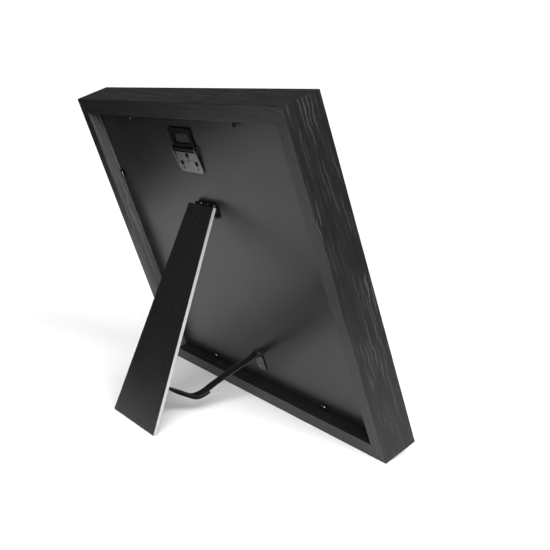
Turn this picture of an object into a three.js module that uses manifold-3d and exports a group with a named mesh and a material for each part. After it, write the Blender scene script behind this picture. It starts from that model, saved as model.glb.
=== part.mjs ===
// A black wooden easel-back photo frame, standing on its rear bottom edge and on the foot of its leg.
// Units are millimetres and +Z is up. The picture side faces -Y and the leg stands out to +Y.
// The origin is the centre of the bottom of the bounding box, on the surface that the frame stands on.

import * as THREE from 'three';
import { mergeVertices } from 'three/addons/utils/BufferGeometryUtils.js';
import Module from 'manifold-3d';

const wasm = await Module();
wasm.setup();

// ---- driving dimensions ----

const GAP = 0.3;                 // clearance between neighbouring pieces

const FRAME_W = 327;             // outside width
const FRAME_H = 282;             // outside height
const FRAME_D = 31.5;            // outside depth
const RAIL_W = 13;               // rear face of each rail, from the outer edge to the rebate
const LIP_W = 19;                // front face of each rail
const RECESS = 10.5;             // from the rear face of the rails down to the backing board

const BOARD_T = 2.5;             // backing board
const PRINT_T = 0.4;
const MAT_T = 1.4;
const GLASS_T = 2;
const REBATE_PLAY = 0.4;         // play round the edge of everything lying in the rebate
const MAT_BORDER = 34;           // width of the mat outside its window

const V_NAIL_LEG = 4.5;          // length of each leg of a V nail
const V_NAIL_T = 0.6;
const V_NAIL_DEEP = 9;
const V_NAIL_INSETS = [3.4, 7.4]; // distance of each nail's bend from both outer edges

const PIN_UP = 190.7;            // leg hinge pin, up the panel from its bottom edge
const PIN_IN = 8.75;             // leg hinge pin, in from the rear face of the rails
const LEG_OPEN = THREE.MathUtils.degToRad(41.3);
const LEG_L = 185.4;
const LEG_TOP_W = 39.5;
const LEG_FOOT_W = 71.8;
const LEG_T = 3;
const LEG_OFF_PIN = 1.2;         // from the pin to the inner face of the leg
const LEG_BELOW_PIN = 1.6;       // from the pin to the top edge of the leg

const LEAF_T = 0.8;              // sheet steel of the hinge, hanger and ribbon plates
const HINGE_W = 30;
const HINGE_PIN_R = 0.6;
const KNUCKLE_BORE_R = 0.9;
const KNUCKLE_R = 1.4;
const KNUCKLE_W = 10;
const BOARD_LEAF_H = 12;
const LEG_LEAF_H = 23;
const LEAF_CORNER_R = 4;
const BOARD_RIVET_X = 9.8;
const BOARD_RIVET_DOWN = 9;
const LEG_RIVET_X = 8;
const LEG_RIVET_DOWN = 19.5;

const HANGER_X = 4.5;            // the hanger sits a little off the middle
const HANGER_UP = 239.5;         // hanger pin, up the panel
const HANGER_PIN_R = 0.7;
const HANGER_PIN_BORE_R = 1;
const HANGER_PLATE_W = 38;
const HANGER_PLATE_H = 17.5;
const HANGER_PLATE_DROP = 3.5;   // from the pin to the top edge of the plate
const HANGER_EAR_H = 3.2;        // height of the side flanges off the board, beside the pin
const HANGER_EAR_PAST_PIN = 1.7;
const HANGER_EAR_FOOT_H = 1.3;    // where a flange tapers out near the foot of the plate
const RING_H = 17.5;             // from the pin to the far edge of the ring
const RING_BAR = 5;
const RING_FOOT_BAR = 4;
const RING_T = 0.9;
const RING_BARREL_R = 1.3;
const HANGER_PIN_RISE = 1.9;     // from the board to the middle of the pin
const EYELET_DOWN = 6.2;         // top eyelet, down from the pin
const EYELET_PAIR_DOWN = 13;     // the other two, down from the pin
const EYELET_PAIR_X = 11.5;      // and to each side of the hanger's middle
const EYELET_WALL = 0.5;
const SLOT_W = 1.5;              // the slot below each eyelet
const SLOT_H = 2.6;
const SLOT_DOWN = 4.6;           // middle of the slot, down from its eyelet

const RIBBON_W = 10;
const RIBBON_T = 0.8;
const STRAP_W = 13;              // the two small plates that the ribbon is threaded through
const STRAP_H = 17;
const STRAP_BAR_RISE = 2.4;      // from the face it is fixed on to the middle of its bar
const STRAP_BAR_R = 0.7;
const STRAP_BAR_W = 12.8;
const STRAP_DROP = 2.6;          // from the bar to the top edge of the plate
const STRAP_CORNER_R = 3;
const STRAP_ARM_W = 1;
const STRAP_ARM_H = 1.4;
const STRAP_ARM_PAST_BAR = 1.5;
const STRAP_RIVET_DOWN = 12.5;   // from the bar to the rivet
const STRAP_UP = 45;             // bar of the plate on the board, up the panel
const LEG_STRAP_DOWN = 150;      // bar of the plate on the leg, down the leg from the pin

const TAB_W = 6;                 // flexible points that hold the board
const TAB_L = 7.6;
const TAB_T = 0.6;
const TAB_OFF_WALL = 0.8;
const TAB_LIFT = THREE.MathUtils.degToRad(20);
const TAB_OUTWARD = 10;          // the top and bottom ones, outside the quarter points

const RIVET_HEAD_R = 2.2;
const RIVET_HEAD_H = 0.5;
const RIVET_R = 1.1;
const RIVET_GRIP = 2;            // how far a shank reaches into the board or leg
const RIVET_CROWN = 0.8;         // share of a head's radius and height where its crown starts
const HEAD_GAP = 0.1;            // under each rivet head
const ROUND_STEPS = 16;

// ---- derived dimensions ----

// Rotation and distance of the leg's lowest corner from the rear bottom edge of the frame, in the panel.
const footAlong = LEG_BELOW_PIN + LEG_L;
const footUp = PIN_UP - footAlong * Math.cos(LEG_OPEN) + LEG_OFF_PIN * Math.sin(LEG_OPEN);
const footOut = -PIN_IN + footAlong * Math.sin(LEG_OPEN) + LEG_OFF_PIN * Math.cos(LEG_OPEN);
const LEAN = Math.atan2(footUp, footOut);
const backMost = Math.hypot(footUp, footOut) + LEG_T * Math.cos(LEG_OPEN - LEAN);
const frontMost = -FRAME_D * Math.cos(LEAN);

const boardFace = -RECESS;
const boardMiddle = boardFace - BOARD_T / 2;
const printMiddle = boardFace - BOARD_T - GAP - PRINT_T / 2;
const matMiddle = printMiddle - PRINT_T / 2 - GAP - MAT_T / 2;
const glassMiddle = matMiddle - MAT_T / 2 - GAP - GLASS_T / 2;
const lipBack = glassMiddle - GLASS_T / 2 - GAP;
const plateFoot = boardFace + GAP;
const inRebateW = FRAME_W - 2 * (RAIL_W + REBATE_PLAY);
const inRebateH = FRAME_H - 2 * (RAIL_W + REBATE_PLAY);
const midUp = FRAME_H / 2;

// ---- materials ----

const paint = (name, color, roughness, metalness = 0) =>
  new THREE.MeshStandardMaterial({ name, color, roughness, metalness });

const blackWood = paint('black_wood', 0x17171a, 0.45);
const blackBoard = paint('black_board', 0x242427, 0.8);
const legBoard = paint('leg_board', 0x1c1c1f, 0.7);
const blackSteel = paint('black_steel', 0x0e0e10, 0.4, 0.6);
const greySteel = paint('grey_steel', 0x8c8c8c, 0.4, 0.8);
const glassMaterial = paint('glass', 0xdfe8e6, 0.05);
const whiteMat = paint('white_mat', 0xf0eee8, 0.9);
const printPaper = paint('print_paper', 0xb9b4aa, 0.6);
const blackRibbon = paint('black_ribbon', 0x101012, 0.6);

// ---- solids ----

function solidOf(geometry) {
  const plain = geometry.clone();
  plain.deleteAttribute('normal');
  plain.deleteAttribute('uv');
  const merged = mergeVertices(plain, 1e-4);
  return new wasm.Manifold(new wasm.Mesh({
    numProp: 3,
    vertProperties: new Float32Array(merged.attributes.position.array),
    triVerts: new Uint32Array(merged.index.array),
  }));
}

function geometryOf(solid) {
  const mesh = solid.getMesh();
  const geometry = new THREE.BufferGeometry();
  geometry.setAttribute('position', new THREE.BufferAttribute(mesh.vertProperties, 3));
  geometry.setIndex(new THREE.BufferAttribute(mesh.triVerts, 1));
  geometry.computeVertexNormals();
  return geometry;
}

function join(...geometries) {
  return geometryOf(geometries.map(solidOf).reduce((sum, next) => sum.add(next)));
}

function cut(geometry, tools) {
  return geometryOf(tools.map(solidOf).reduce((rest, tool) => rest.subtract(tool), solidOf(geometry)));
}

// A flat shape drawn in X and Z, given a thickness from its foot towards +Y.
function sheet(shape, thickness, foot) {
  const geometry = new THREE.ExtrudeGeometry(shape, {
    depth: thickness, bevelEnabled: false, curveSegments: ROUND_STEPS / 4,
  });
  return geometry.rotateX(Math.PI / 2).translate(0, foot + thickness, 0);
}

function slab(width, depth, height, x, y, z) {
  return new THREE.BoxGeometry(width, depth, height).translate(x, y, z);
}

// A round bar along X.
function barX(radius, length, x, y, z) {
  const bar = new THREE.CylinderGeometry(radius, radius, length, ROUND_STEPS);
  return bar.rotateZ(Math.PI / 2).translate(x, y, z);
}

// A round bar along Y, from one Y to another.
function barY(radius, fromY, toY, x, z) {
  const bar = new THREE.CylinderGeometry(radius, radius, toY - fromY, ROUND_STEPS);
  return bar.translate(x, (fromY + toY) / 2, z);
}

function rectangle(left, bottom, right, top) {
  const shape = new THREE.Shape();
  shape.moveTo(left, bottom);
  shape.lineTo(right, bottom);
  shape.lineTo(right, top);
  shape.lineTo(left, top);
  shape.closePath();
  return shape;
}

// A rectangle whose two bottom corners are round.
function roundFooted(left, bottom, right, top, radius) {
  const shape = new THREE.Shape();
  shape.moveTo(left, top);
  shape.lineTo(left, bottom + radius);
  shape.absarc(left + radius, bottom + radius, radius, Math.PI, 1.5 * Math.PI, false);
  shape.lineTo(right - radius, bottom);
  shape.absarc(right - radius, bottom + radius, radius, 1.5 * Math.PI, 2 * Math.PI, false);
  shape.lineTo(right, top);
  shape.closePath();
  return shape;
}

function addMesh(group, name, geometry, material) {
  const mesh = new THREE.Mesh(geometry, material);
  mesh.name = name;
  group.add(mesh);
}

// ---- the wooden frame ----

// One side of the frame, lying along X below its outer edge at Z 0. It is an L in section, and each end
// is mitred by drawing its points in by their distance from the outer edge.
function railGeometry(length) {
  const section = new THREE.Shape();
  section.moveTo(0, 0);
  section.lineTo(RAIL_W, 0);
  section.lineTo(RAIL_W, lipBack);
  section.lineTo(LIP_W, lipBack);
  section.lineTo(LIP_W, -FRAME_D);
  section.lineTo(0, -FRAME_D);
  section.closePath();
  const geometry = new THREE.ExtrudeGeometry(section, { depth: length, bevelEnabled: false });
  const alongX = new THREE.Matrix4().makeBasis(
    new THREE.Vector3(0, 0, -1), new THREE.Vector3(0, 1, 0), new THREE.Vector3(1, 0, 0));
  geometry.applyMatrix4(alongX).translate(-length / 2, 0, 0);
  const points = geometry.attributes.position;
  const mitreGap = GAP / Math.SQRT2;
  for (let i = 0; i < points.count; i += 1) {
    const reach = length / 2 + points.getZ(i) - mitreGap;
    points.setX(i, Math.sign(points.getX(i)) * reach);
  }
  return geometry;
}

// The outline of a V nail with its bend at the origin and its legs level and upright, grown on every side.
function vNailShape(grow) {
  const half = V_NAIL_T / 2 + grow;
  const end = V_NAIL_LEG + grow;
  const shape = new THREE.Shape();
  shape.moveTo(-half, -half);
  shape.lineTo(end, -half);
  shape.lineTo(end, half);
  shape.lineTo(half, half);
  shape.lineTo(half, end);
  shape.lineTo(-half, end);
  shape.closePath();
  return shape;
}

// Every corner is the same but for a quarter turn in the plane of the panel about its middle.
const CORNERS = [
  { name: 'top_right', turn: 0, x: 1, z: 1 },
  { name: 'bottom_right', turn: 1, x: 1, z: -1 },
  { name: 'bottom_left', turn: 2, x: -1, z: -1 },
  { name: 'top_left', turn: 3, x: -1, z: 1 },
];

function vNailGeometry(corner, inset, grow) {
  return sheet(vNailShape(grow), V_NAIL_DEEP + 2 * grow, -V_NAIL_DEEP - grow)
    .rotateY(Math.PI + corner.turn * Math.PI / 2)
    .translate(corner.x * (FRAME_W / 2 - inset), 0, midUp + corner.z * (FRAME_H / 2 - inset));
}

const RAILS = [
  { name: 'rail_top', length: FRAME_W, turn: 0, x: 0, z: FRAME_H },
  { name: 'rail_right', length: FRAME_H, turn: 1, x: FRAME_W / 2, z: midUp },
  { name: 'rail_bottom', length: FRAME_W, turn: 2, x: 0, z: 0 },
  { name: 'rail_left', length: FRAME_H, turn: 3, x: -FRAME_W / 2, z: midUp },
];

function addWoodenFrame(panel) {
  const slots = [];
  for (const corner of CORNERS) {
    for (const inset of V_NAIL_INSETS) {
      slots.push(vNailGeometry(corner, inset, GAP));
    }
  }
  for (const rail of RAILS) {
    const blank = railGeometry(rail.length).rotateY(rail.turn * Math.PI / 2).translate(rail.x, 0, rail.z);
    addMesh(panel, rail.name, cut(blank, slots), blackWood);
  }
  for (const corner of CORNERS) {
    V_NAIL_INSETS.forEach((inset, i) => {
      addMesh(panel, `v_nail_${corner.name}_${i + 1}`, vNailGeometry(corner, inset, 0), greySteel);
    });
  }
}

// ---- what lies in the rebate ----

const boardRivets = [
  { name: 'hinge_board_rivet_right', x: BOARD_RIVET_X, z: PIN_UP - BOARD_RIVET_DOWN, steel: blackSteel },
  { name: 'hinge_board_rivet_left', x: -BOARD_RIVET_X, z: PIN_UP - BOARD_RIVET_DOWN, steel: blackSteel },
  { name: 'ribbon_anchor_rivet', x: 0, z: STRAP_UP - STRAP_RIVET_DOWN, steel: greySteel },
];

const hangerEyelets = [
  { name: 'hanger_eyelet_top', x: HANGER_X, z: HANGER_UP - EYELET_DOWN },
  { name: 'hanger_eyelet_right', x: HANGER_X + EYELET_PAIR_X, z: HANGER_UP - EYELET_PAIR_DOWN },
  { name: 'hanger_eyelet_left', x: HANGER_X - EYELET_PAIR_X, z: HANGER_UP - EYELET_PAIR_DOWN },
];

function addPictureStack(panel) {
  addMesh(panel, 'glass_pane', slab(inRebateW, GLASS_T, inRebateH, 0, glassMiddle, midUp), glassMaterial);

  const mat = rectangle(-inRebateW / 2, -inRebateH / 2, inRebateW / 2, inRebateH / 2);
  const windowX = inRebateW / 2 - MAT_BORDER;
  const windowZ = inRebateH / 2 - MAT_BORDER;
  mat.holes.push(rectangle(-windowX, -windowZ, windowX, windowZ));
  const matGeometry = sheet(mat, MAT_T, matMiddle - MAT_T / 2).translate(0, 0, midUp);
  addMesh(panel, 'mat_board', matGeometry, whiteMat);

  addMesh(panel, 'art_print', slab(inRebateW, PRINT_T, inRebateH, 0, printMiddle, midUp), printPaper);

  const holes = [...boardRivets, ...hangerEyelets].map((rivet) =>
    barY(RIVET_R + GAP, boardFace - BOARD_T - 1, boardFace + 1, rivet.x, rivet.z));
  const board = slab(inRebateW, BOARD_T, inRebateH, 0, boardMiddle, midUp);
  addMesh(panel, 'backing_board', cut(board, holes), blackBoard);
}

// ---- rivets ----

// A rivet whose head sits on a sheet at headFoot and whose shank goes through it towards -Y.
function rivetGeometry(x, headFoot, z, shankEnd) {
  const profile = [
    new THREE.Vector2(0, shankEnd),
    new THREE.Vector2(RIVET_R, shankEnd),
    new THREE.Vector2(RIVET_R, headFoot),
    new THREE.Vector2(RIVET_HEAD_R, headFoot),
    new THREE.Vector2(RIVET_HEAD_R * RIVET_CROWN, headFoot + RIVET_HEAD_H * RIVET_CROWN),
    new THREE.Vector2(0, headFoot + RIVET_HEAD_H),
  ];
  return new THREE.LatheGeometry(profile, ROUND_STEPS).translate(x, 0, z);
}

// A hollow rivet: the same head and shank with an open bore.
function eyeletGeometry(x, headFoot, z, shankEnd) {
  const bore = RIVET_R - EYELET_WALL;
  const profile = [
    new THREE.Vector2(bore, shankEnd),
    new THREE.Vector2(RIVET_R, shankEnd),
    new THREE.Vector2(RIVET_R, headFoot),
    new THREE.Vector2(RIVET_HEAD_R, headFoot),
    new THREE.Vector2(RIVET_HEAD_R * RIVET_CROWN, headFoot + RIVET_HEAD_H),
    new THREE.Vector2(bore, headFoot + RIVET_HEAD_H),
    new THREE.Vector2(bore, shankEnd),
  ];
  return new THREE.LatheGeometry(profile, ROUND_STEPS).translate(x, 0, z);
}

// ---- the leg hinge ----

// A leaf hangs from the pin at the origin. Its knuckles are tubes round the pin, joined to its top edge.
function leafGeometry(height, foot, knuckleXs, knuckleWidth, rivetX, rivetDown) {
  const half = HINGE_W / 2;
  const topEdge = -KNUCKLE_R - GAP;
  const flat = sheet(roundFooted(-half, -height, half, topEdge, LEAF_CORNER_R), LEAF_T, foot);
  const parts = [flat];
  for (const x of knuckleXs) {
    parts.push(barX(KNUCKLE_R, knuckleWidth, x, 0, 0));
    const neckZ = (topEdge - LEAF_T) / 2;
    parts.push(slab(knuckleWidth, LEAF_T, LEAF_T - topEdge, x, foot + LEAF_T / 2, neckZ));
  }
  const holes = [barX(KNUCKLE_BORE_R, HINGE_W + 2, 0, 0, 0)];
  for (const side of [1, -1]) {
    holes.push(barY(RIVET_R + GAP, foot - 1, foot + LEAF_T + 1, side * rivetX, -rivetDown));
  }
  return cut(join(...parts), holes);
}

function addBoardHinge(panel) {
  const foot = plateFoot + PIN_IN;
  const outerKnuckleX = HINGE_W / 2 - KNUCKLE_W / 2;
  const outerKnuckleW = KNUCKLE_W - GAP / 2;
  const knuckleShift = GAP / 4;
  const leaf = leafGeometry(BOARD_LEAF_H, foot,
    [outerKnuckleX + knuckleShift, -outerKnuckleX - knuckleShift], outerKnuckleW,
    BOARD_RIVET_X, BOARD_RIVET_DOWN);
  addMesh(panel, 'hinge_board_leaf', leaf.translate(0, -PIN_IN, PIN_UP), blackSteel);
  const pin = barX(HINGE_PIN_R, HINGE_W + 1, 0, -PIN_IN, PIN_UP);
  addMesh(panel, 'hinge_pin', pin, greySteel);
  for (const rivet of boardRivets) {
    const head = plateFoot + LEAF_T + HEAD_GAP;
    const geometry = rivetGeometry(rivet.x, head, rivet.z, boardFace - RIVET_GRIP);
    addMesh(panel, rivet.name, geometry, rivet.steel);
  }
}

// ---- the leg ----

// Everything on the leg is placed from the hinge pin, with the leg hanging straight down along -Z.
function addLeg(panel) {
  const leg = new THREE.Group();
  leg.position.set(0, -PIN_IN, PIN_UP);
  leg.rotation.x = LEG_OPEN;
  panel.add(leg);

  const top = -LEG_BELOW_PIN;
  const foot = top - LEG_L;
  const outline = new THREE.Shape();
  outline.moveTo(-LEG_FOOT_W / 2, foot);
  outline.lineTo(LEG_FOOT_W / 2, foot);
  outline.lineTo(LEG_TOP_W / 2, top);
  outline.lineTo(-LEG_TOP_W / 2, top);
  outline.closePath();
  const legRivets = [
    { name: 'hinge_leg_rivet_right', x: LEG_RIVET_X, z: -LEG_RIVET_DOWN, steel: blackSteel },
    { name: 'hinge_leg_rivet_left', x: -LEG_RIVET_X, z: -LEG_RIVET_DOWN, steel: blackSteel },
    { name: 'ribbon_leg_rivet', x: 0, z: STRAP_RIVET_DOWN - LEG_STRAP_DOWN, steel: greySteel },
  ];
  const gripEnd = LEG_OFF_PIN + RIVET_GRIP;
  const holes = legRivets.map((rivet) =>
    barY(RIVET_R + GAP, LEG_OFF_PIN - 1, gripEnd + GAP, rivet.x, rivet.z));
  addMesh(leg, 'leg_board', cut(sheet(outline, LEG_T, LEG_OFF_PIN), holes), legBoard);

  const leafFoot = LEG_OFF_PIN - GAP - LEAF_T;
  const leaf = leafGeometry(LEG_LEAF_H, leafFoot, [0], KNUCKLE_W - GAP, LEG_RIVET_X, LEG_RIVET_DOWN);
  addMesh(leg, 'hinge_leg_leaf', leaf, blackSteel);

  // The rivets and the ribbon's plate sit on the inner face, so they are turned to face -Y.
  for (const rivet of legRivets) {
    const geometry = rivetGeometry(0, GAP + LEAF_T + HEAD_GAP, 0, -RIVET_GRIP)
      .rotateX(Math.PI)
      .translate(rivet.x, LEG_OFF_PIN, rivet.z);
    addMesh(leg, rivet.name, geometry, rivet.steel);
  }
  const strap = strapGeometry().rotateX(Math.PI).translate(0, LEG_OFF_PIN, -LEG_STRAP_DOWN);
  addMesh(leg, 'ribbon_leg_plate', strap, greySteel);
}

// ---- the ribbon and the plates it is threaded through ----

// A plate on a face at Y 0, with its bar at Z 0 held off the face by two arms and its rivet hole below.
function strapGeometry() {
  const half = STRAP_W / 2;
  const armFront = STRAP_BAR_RISE + STRAP_BAR_R;
  const outline = roundFooted(-half, -STRAP_H, half, -STRAP_DROP, STRAP_CORNER_R);
  const parts = [sheet(outline, LEAF_T, GAP)];
  for (const side of [1, -1]) {
    const x = side * (half - STRAP_ARM_W / 2);
    const armH = STRAP_DROP + STRAP_ARM_PAST_BAR;
    parts.push(slab(STRAP_ARM_W, LEAF_T, armH, x, GAP + LEAF_T / 2, -STRAP_DROP / 2));
    parts.push(slab(STRAP_ARM_W, armFront - GAP, STRAP_ARM_H, x, (armFront + GAP) / 2, 0));
  }
  parts.push(barX(STRAP_BAR_R, STRAP_BAR_W, 0, STRAP_BAR_RISE, 0));
  const hole = barY(RIVET_R + GAP, 0, GAP + LEAF_T + 1, 0, -STRAP_RIVET_DOWN);
  return cut(join(...parts), [hole]);
}

// The middle of the ribbon from the bar on the board down to its lowest point and up to the bar on the
// leg, as Y and Z from the rear bottom edge of the frame, with the frame standing.
const RIBBON_ROUTE = [
  [12.8, 43],
  [17, 41.1],
  [22, 38.7],
  [27.5, 36.1],
  [33, 33.5],
  [39.5, 30.4],
  [46, 27],
  [51, 24.4],
  [56, 21.6],
  [61, 18.6],
  [66.5, 16.3],
  [72, 15.5],
  [77, 16.8],
  [83, 19.5],
  [89, 22],
  [95, 24.6],
  [101, 27.6],
  [106, 30.2],
  [111, 33],
];

function addRibbon(standing) {
  const half = RIBBON_W / 2;
  const points = RIBBON_ROUTE.map(([y, z]) => new THREE.Vector3(0, y, z));
  const route = new THREE.CatmullRomCurve3(points, false, 'centripetal');
  const section = new THREE.Shape();
  section.moveTo(-half, -RIBBON_T / 2);
  section.lineTo(half, -RIBBON_T / 2);
  section.lineTo(half, RIBBON_T / 2);
  section.lineTo(-half, RIBBON_T / 2);
  section.closePath();
  const geometry = new THREE.ExtrudeGeometry(section, {
    steps: 2 * RIBBON_ROUTE.length, extrudePath: route, bevelEnabled: false,
  });
  addMesh(standing, 'ribbon', geometry, blackRibbon);
}

// ---- the wall hanger ----

// A side flange: full height beside the pin, then tapering down the plate to its foot.
function earGeometry(x, footZ) {
  const ear = new THREE.Shape();
  ear.moveTo(GAP, footZ);
  ear.lineTo(HANGER_EAR_FOOT_H, footZ);
  ear.lineTo(HANGER_EAR_H, -HANGER_EAR_PAST_PIN);
  ear.lineTo(HANGER_EAR_H, HANGER_EAR_PAST_PIN);
  ear.lineTo(GAP, HANGER_EAR_PAST_PIN);
  ear.closePath();
  return sheet(ear, LEAF_T, -LEAF_T / 2).rotateZ(Math.PI / 2).translate(x, 0, 0);
}

function addHanger(panel) {
  const hanger = new THREE.Group();
  hanger.position.set(HANGER_X, boardFace, HANGER_UP);
  panel.add(hanger);

  const half = HANGER_PLATE_W / 2;
  const plateTop = -HANGER_PLATE_DROP;
  const plateFootZ = plateTop - HANGER_PLATE_H;
  const parts = [sheet(roundFooted(-half, plateFootZ, half, plateTop, LEAF_CORNER_R), LEAF_T, GAP)];
  for (const side of [1, -1]) {
    parts.push(earGeometry(side * (half - LEAF_T / 2), plateFootZ + LEAF_CORNER_R));
  }
  const holes = [barX(HANGER_PIN_BORE_R, HANGER_PLATE_W + 2, 0, HANGER_PIN_RISE, 0)];
  for (const eyelet of hangerEyelets) {
    const x = eyelet.x - HANGER_X;
    const z = eyelet.z - HANGER_UP;
    holes.push(barY(RIVET_R + GAP, 0, LEAF_T + 1, x, z));
    holes.push(slab(SLOT_W, LEAF_T + 2, SLOT_H, x, LEAF_T / 2 + GAP, z - SLOT_DOWN));
  }
  addMesh(hanger, 'hanger_plate', cut(join(...parts), holes), greySteel);
  addMesh(hanger, 'hanger_pin', barX(HANGER_PIN_R, HANGER_PLATE_W + 3, 0, HANGER_PIN_RISE, 0), blackSteel);
  for (const eyelet of hangerEyelets) {
    const geometry = eyeletGeometry(
      eyelet.x - HANGER_X, GAP + LEAF_T + HEAD_GAP, eyelet.z - HANGER_UP, -RIVET_GRIP);
    addMesh(hanger, eyelet.name, geometry, blackSteel);
  }

  // The ring's flat leaves its barrel on the side of the board, so the ring lies close to the board.
  const ringHalf = half - LEAF_T - GAP;
  const ring = rectangle(-ringHalf, 0, ringHalf, RING_H);
  ring.holes.push(rectangle(-ringHalf + RING_BAR, RING_FOOT_BAR, ringHalf - RING_BAR, RING_H - RING_BAR));
  const ringParts = [
    sheet(ring, RING_T, HANGER_PIN_RISE - RING_BARREL_R),
    barX(RING_BARREL_R, 2 * ringHalf, 0, HANGER_PIN_RISE, 0),
  ];
  const ringBore = barX(HANGER_PIN_BORE_R, 2 * ringHalf + 2, 0, HANGER_PIN_RISE, 0);
  addMesh(hanger, 'hanger_ring', cut(join(...ringParts), [ringBore]), blackSteel);
}

// ---- flexible points ----

const sideUp = inRebateH / 4;
const sideAcross = inRebateW / 4 + TAB_OUTWARD;
const TABS = [
  { name: 'flex_tab_top_right', turn: 0, x: sideAcross, z: FRAME_H - RAIL_W },
  { name: 'flex_tab_top_left', turn: 0, x: -sideAcross, z: FRAME_H - RAIL_W },
  { name: 'flex_tab_right_upper', turn: 1, x: FRAME_W / 2 - RAIL_W, z: midUp + sideUp },
  { name: 'flex_tab_right_lower', turn: 1, x: FRAME_W / 2 - RAIL_W, z: midUp - sideUp },
  { name: 'flex_tab_bottom_right', turn: 2, x: sideAcross, z: RAIL_W },
  { name: 'flex_tab_bottom_left', turn: 2, x: -sideAcross, z: RAIL_W },
  { name: 'flex_tab_left_upper', turn: 3, x: -FRAME_W / 2 + RAIL_W, z: midUp + sideUp },
  { name: 'flex_tab_left_lower', turn: 3, x: -FRAME_W / 2 + RAIL_W, z: midUp - sideUp },
];

function addTabs(panel) {
  for (const tab of TABS) {
    const blade = roundFooted(-TAB_W / 2, -TAB_L, TAB_W / 2, 0, TAB_W / 3);
    const geometry = sheet(blade, TAB_T, GAP)
      .rotateX(TAB_LIFT)
      .translate(0, 0, -TAB_OFF_WALL)
      .rotateY(tab.turn * Math.PI / 2)
      .translate(tab.x, boardFace, tab.z);
    addMesh(panel, tab.name, geometry, blackSteel);
  }
}

// ---- assembly ----

const photoFrame = new THREE.Group();
const standing = new THREE.Group();
standing.position.y = -(frontMost + backMost) / 2;
photoFrame.add(standing);

const panel = new THREE.Group();
panel.rotation.x = -LEAN;
standing.add(panel);

addWoodenFrame(panel);
addPictureStack(panel);
addBoardHinge(panel);
const anchor = strapGeometry().translate(0, boardFace, STRAP_UP);
addMesh(panel, 'ribbon_anchor_plate', anchor, greySteel);
addLeg(panel);
addRibbon(standing);
addHanger(panel);
addTabs(panel);

export default photoFrame;
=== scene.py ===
"""A black wooden easel-back photo frame standing on its leg, with every piece and finish built from sizes."""

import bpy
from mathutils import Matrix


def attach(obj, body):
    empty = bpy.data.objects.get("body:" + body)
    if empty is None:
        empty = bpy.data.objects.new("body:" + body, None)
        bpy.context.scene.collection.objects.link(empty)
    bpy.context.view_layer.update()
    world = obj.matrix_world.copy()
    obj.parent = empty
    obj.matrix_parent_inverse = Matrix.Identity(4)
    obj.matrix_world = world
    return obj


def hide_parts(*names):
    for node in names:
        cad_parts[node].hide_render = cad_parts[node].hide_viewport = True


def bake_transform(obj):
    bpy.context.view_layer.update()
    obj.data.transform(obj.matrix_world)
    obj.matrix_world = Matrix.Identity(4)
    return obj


bl_info = {
    "name": "Easel-Back Photo Frame",
    "version": (1, 0, 0),
    "blender": (4, 5, 0),
    "location": "View3D > Sidebar > Photo Frame",
    "description": "Builds the rails, backing board, hinged leg, ribbon stay, hanger and their finishes",
    "category": "Add Mesh",
}

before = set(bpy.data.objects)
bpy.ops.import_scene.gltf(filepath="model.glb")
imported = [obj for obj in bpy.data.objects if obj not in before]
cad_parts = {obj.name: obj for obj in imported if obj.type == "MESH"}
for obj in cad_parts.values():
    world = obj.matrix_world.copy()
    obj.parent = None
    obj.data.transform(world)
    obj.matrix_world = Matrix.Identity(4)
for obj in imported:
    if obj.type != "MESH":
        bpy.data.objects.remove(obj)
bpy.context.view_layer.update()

import math

import bmesh
import bpy
from bpy.props import FloatProperty, FloatVectorProperty, PointerProperty
from mathutils import Matrix, Vector

MM = 0.001

# ---- where things are, as the CAD has them ----

LEAN = math.radians(23.8134)
STAND_Y = -50.1849 * MM
LEG_OPEN = math.radians(41.3)

FRAME_W = 327 * MM
FRAME_H = 282 * MM
FRAME_D = 31.5 * MM
RAIL_W = 13 * MM
LIP_W = 19 * MM
LIP_BACK = -18 * MM
RECESS = 10.5 * MM
IN_REBATE_W = 300.2 * MM
IN_REBATE_H = 255.2 * MM
PIN_UP = 190.7 * MM
PIN_IN = 8.75 * MM
HANGER_X = 4.5 * MM
HANGER_UP = 239.5 * MM
STRAP_UP = 45 * MM
LEG_STRAP_DOWN = 150 * MM
GAP = 0.3 * MM
LEAF_T = 0.8 * MM
GLASS_T = 2 * MM
GLASS_MIDDLE = -16.7 * MM
MAT_BACK = -14 * MM
MAT_FRONT = -15.4 * MM
MAT_BORDER = 34 * MM
PRINT_T = 0.4 * MM
PRINT_MIDDLE = -13.5 * MM
BOARD_T = 2.5 * MM
LEG_T = 3 * MM
LEG_FACE = 1.2 * MM
HINGE_RIVET_UP = PIN_UP - 9 * MM
HANGER_PIN_RISE = 1.9 * MM
EAR_X = 18.6 * MM
STRAP_BAR_RISE = 2.4 * MM
RIVET_FOOT = 1.2 * MM
SHANK_END = -2 * MM
HARD_EDGE = 0.6
SMOOTH_UP_TO = 0.7

PANEL = Matrix.Translation((0, STAND_Y, 0)) @ Matrix.Rotation(-LEAN, 4, "X")
LEG = PANEL @ Matrix.Translation((0, -PIN_IN, PIN_UP)) @ Matrix.Rotation(LEG_OPEN, 4, "X")
HANGER = PANEL @ Matrix.Translation((HANGER_X, -RECESS, HANGER_UP))
BOARD_STRAP = PANEL @ Matrix.Translation((0, -RECESS, STRAP_UP))
FACING_IN = Matrix.Rotation(math.pi, 4, "X")
IN_PLACE = Matrix.Identity(4)
LEG_STRAP = LEG @ Matrix.Translation((0, LEG_FACE, -LEG_STRAP_DOWN)) @ FACING_IN

# ---- settings ----


def colour(label, text, value):
    return FloatVectorProperty(
        name=label, description=text, default=value, subtype="COLOR", size=3, min=0, max=1
    )


def length(label, text, millimetres):
    return FloatProperty(
        name=label, description=text, default=millimetres * MM, unit="LENGTH", precision=5
    )


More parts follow.
